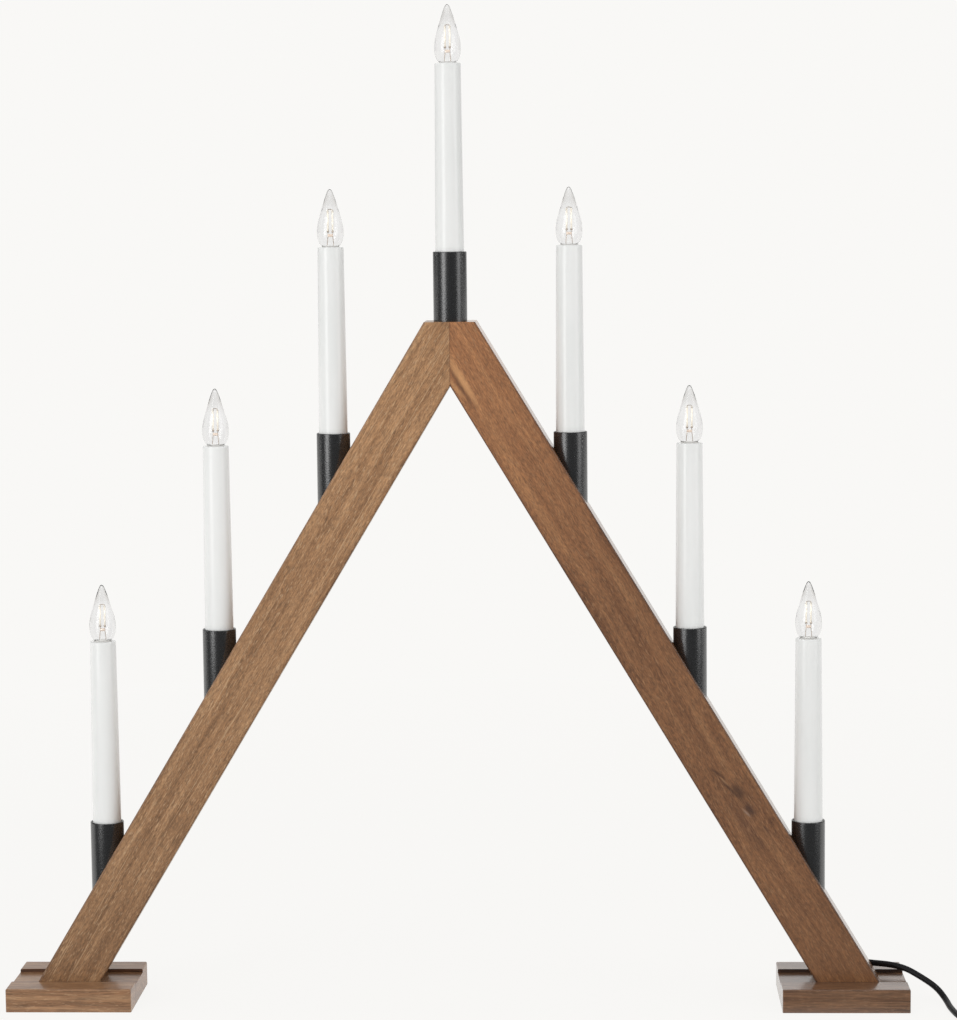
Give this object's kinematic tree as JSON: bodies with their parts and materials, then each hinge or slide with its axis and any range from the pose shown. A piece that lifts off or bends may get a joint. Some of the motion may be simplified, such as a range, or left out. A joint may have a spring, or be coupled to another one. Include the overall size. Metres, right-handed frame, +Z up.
{
  "type": "electric candle arch",
  "caption": "Wooden A-frame candle arch on two flat feet, with white electric candles in black cups along its legs and on its crown, and a black mains lead.",
  "frame": {"origin": "on the floor, midway between the two feet and midway through their depth", "axes": "+X across to the right foot, +Y to the back, +Z up"},
  "size_m": [0.6092, 0.1078, 0.5516],
  "materials": {
    "stained_wood": "brown stained, matt",
    "dowel_wood": "plain",
    "cup_black": "fine textured powder coat",
    "sleeve_white": "satin",
    "bulb_clear": "clear",
    "filament": "pale yellow coated filament on bare wires",
    "cap_metal": "bright",
    "insulator": "glossy",
    "socket_brass": "plain",
    "socket_plastic": "moulded",
    "wire": "insulated wire",
    "screw_steel": "zinc plated",
    "cord_black": "smooth matt",
    "plug_black": "moulded",
    "pin_metal": "plated"
  },
  "bodies": {
    "frame": {"left_leg": "stained_wood", "right_leg": "stained_wood", "left_foot": "stained_wood", "right_foot": "stained_wood", "left_wire_cover": "stained_wood", "right_wire_cover": "stained_wood", "apex_dowels": "dowel_wood", "foot_screws": "screw_steel", "series_wiring": "wire", "socket_shells": "socket_brass", "socket_bases": "socket_plastic", "socket_contacts": "socket_brass", "cord_gland": "cord_black", "lead_cord": "cord_black", "lead_coil": "cord_black", "cord_tie": "plug_black", "plug_body": "plug_black", "plug_pins": "pin_metal", "holder_cup_1": "cup_black", "candle_sleeve_1": "sleeve_white", "holder_cup_2": "cup_black", "candle_sleeve_2": "sleeve_white", "holder_cup_3": "cup_black", "candle_sleeve_3": "sleeve_white", "holder_cup_4": "cup_black", "candle_sleeve_4": "sleeve_white", "holder_cup_5": "cup_black", "candle_sleeve_5": "sleeve_white", "holder_cup_6": "cup_black", "candle_sleeve_6": "sleeve_white", "holder_cup_7": "cup_black", "candle_sleeve_7": "sleeve_white"},
    "bulb_1_tip": {"bulb_contact_1": "insulator"},
    "bulb_1": {"bulb_glass_1": "bulb_clear", "bulb_cap_1": "cap_metal", "bulb_filament_1": "filament"},
    "bulb_2_tip": {"bulb_contact_2": "insulator"},
    "bulb_2": {"bulb_glass_2": "bulb_clear", "bulb_cap_2": "cap_metal", "bulb_filament_2": "filament"},
    "bulb_3_tip": {"bulb_contact_3": "insulator"},
    "bulb_3": {"bulb_glass_3": "bulb_clear", "bulb_cap_3": "cap_metal", "bulb_filament_3": "filament"},
    "bulb_4_tip": {"bulb_contact_4": "insulator"},
    "bulb_4": {"bulb_glass_4": "bulb_clear", "bulb_cap_4": "cap_metal", "bulb_filament_4": "filament"},
    "bulb_5_tip": {"bulb_contact_5": "insulator"},
    "bulb_5": {"bulb_glass_5": "bulb_clear", "bulb_cap_5": "cap_metal", "bulb_filament_5": "filament"},
    "bulb_6_tip": {"bulb_contact_6": "insulator"},
    "bulb_6": {"bulb_glass_6": "bulb_clear", "bulb_cap_6": "cap_metal", "bulb_filament_6": "filament"},
    "bulb_7_tip": {"bulb_contact_7": "insulator"},
    "bulb_7": {"bulb_glass_7": "bulb_clear", "bulb_cap_7": "cap_metal", "bulb_filament_7": "filament"}
  },
  "joints": [
    {"name": "bulb_1_lift", "type": "slide", "parent": "frame", "child": "bulb_1_tip", "axis": [0, 0, 1], "range_m": [0, 0.0073]},
    {"name": "bulb_1_turn", "type": "hinge", "parent": "bulb_1_tip", "child": "bulb_1", "pos_m": [-0.19596, 0, 0.20357], "axis": [0, 0, 1], "range_deg": [0, 1440]},
    {"name": "bulb_2_lift", "type": "slide", "parent": "frame", "child": "bulb_2_tip", "axis": [0, 0, 1], "range_m": [0, 0.0073]},
    {"name": "bulb_2_turn", "type": "hinge", "parent": "bulb_2_tip", "child": "bulb_2", "pos_m": [-0.13064, 0, 0.31228], "axis": [0, 0, 1], "range_deg": [0, 1440]},
    {"name": "bulb_3_lift", "type": "slide", "parent": "frame", "child": "bulb_3_tip", "axis": [0, 0, 1], "range_m": [0, 0.0073]},
    {"name": "bulb_3_turn", "type": "hinge", "parent": "bulb_3_tip", "child": "bulb_3", "pos_m": [-0.06532, 0, 0.42099], "axis": [0, 0, 1], "range_deg": [0, 1440]},
    {"name": "bulb_4_lift", "type": "slide", "parent": "frame", "child": "bulb_4_tip", "axis": [0, 0, 1], "range_m": [0, 0.0073]},
    {"name": "bulb_4_turn", "type": "hinge", "parent": "bulb_4_tip", "child": "bulb_4", "pos_m": [0, 0, 0.52], "axis": [0, 0, 1], "range_deg": [0, 1440]},
    {"name": "bulb_5_lift", "type": "slide", "parent": "frame", "child": "bulb_5_tip", "axis": [0, 0, 1], "range_m": [0, 0.0073]},
    {"name": "bulb_5_turn", "type": "hinge", "parent": "bulb_5_tip", "child": "bulb_5", "pos_m": [0.06532, 0, 0.42099], "axis": [0, 0, 1], "range_deg": [0, 1440]},
    {"name": "bulb_6_lift", "type": "slide", "parent": "frame", "child": "bulb_6_tip", "axis": [0, 0, 1], "range_m": [0, 0.0073]},
    {"name": "bulb_6_turn", "type": "hinge", "parent": "bulb_6_tip", "child": "bulb_6", "pos_m": [0.13064, 0, 0.31228], "axis": [0, 0, 1], "range_deg": [0, 1440]},
    {"name": "bulb_7_lift", "type": "slide", "parent": "frame", "child": "bulb_7_tip", "axis": [0, 0, 1], "range_m": [0, 0.0073]},
    {"name": "bulb_7_turn", "type": "hinge", "parent": "bulb_7_tip", "child": "bulb_7", "pos_m": [0.19596, 0, 0.20357], "axis": [0, 0, 1], "range_deg": [0, 1440]}
  ],
  "couplings": [
    {"joint": "bulb_1_lift", "follows": "bulb_1_turn", "m_per_rad": 0.00028871},
    {"joint": "bulb_2_lift", "follows": "bulb_2_turn", "m_per_rad": 0.00028871},
    {"joint": "bulb_3_lift", "follows": "bulb_3_turn", "m_per_rad": 0.00028871},
    {"joint": "bulb_4_lift", "follows": "bulb_4_turn", "m_per_rad": 0.00028871},
    {"joint": "bulb_5_lift", "follows": "bulb_5_turn", "m_per_rad": 0.00028871},
    {"joint": "bulb_6_lift", "follows": "bulb_6_turn", "m_per_rad": 0.00028871},
    {"joint": "bulb_7_lift", "follows": "bulb_7_turn", "m_per_rad": 0.00028871}
  ]
}
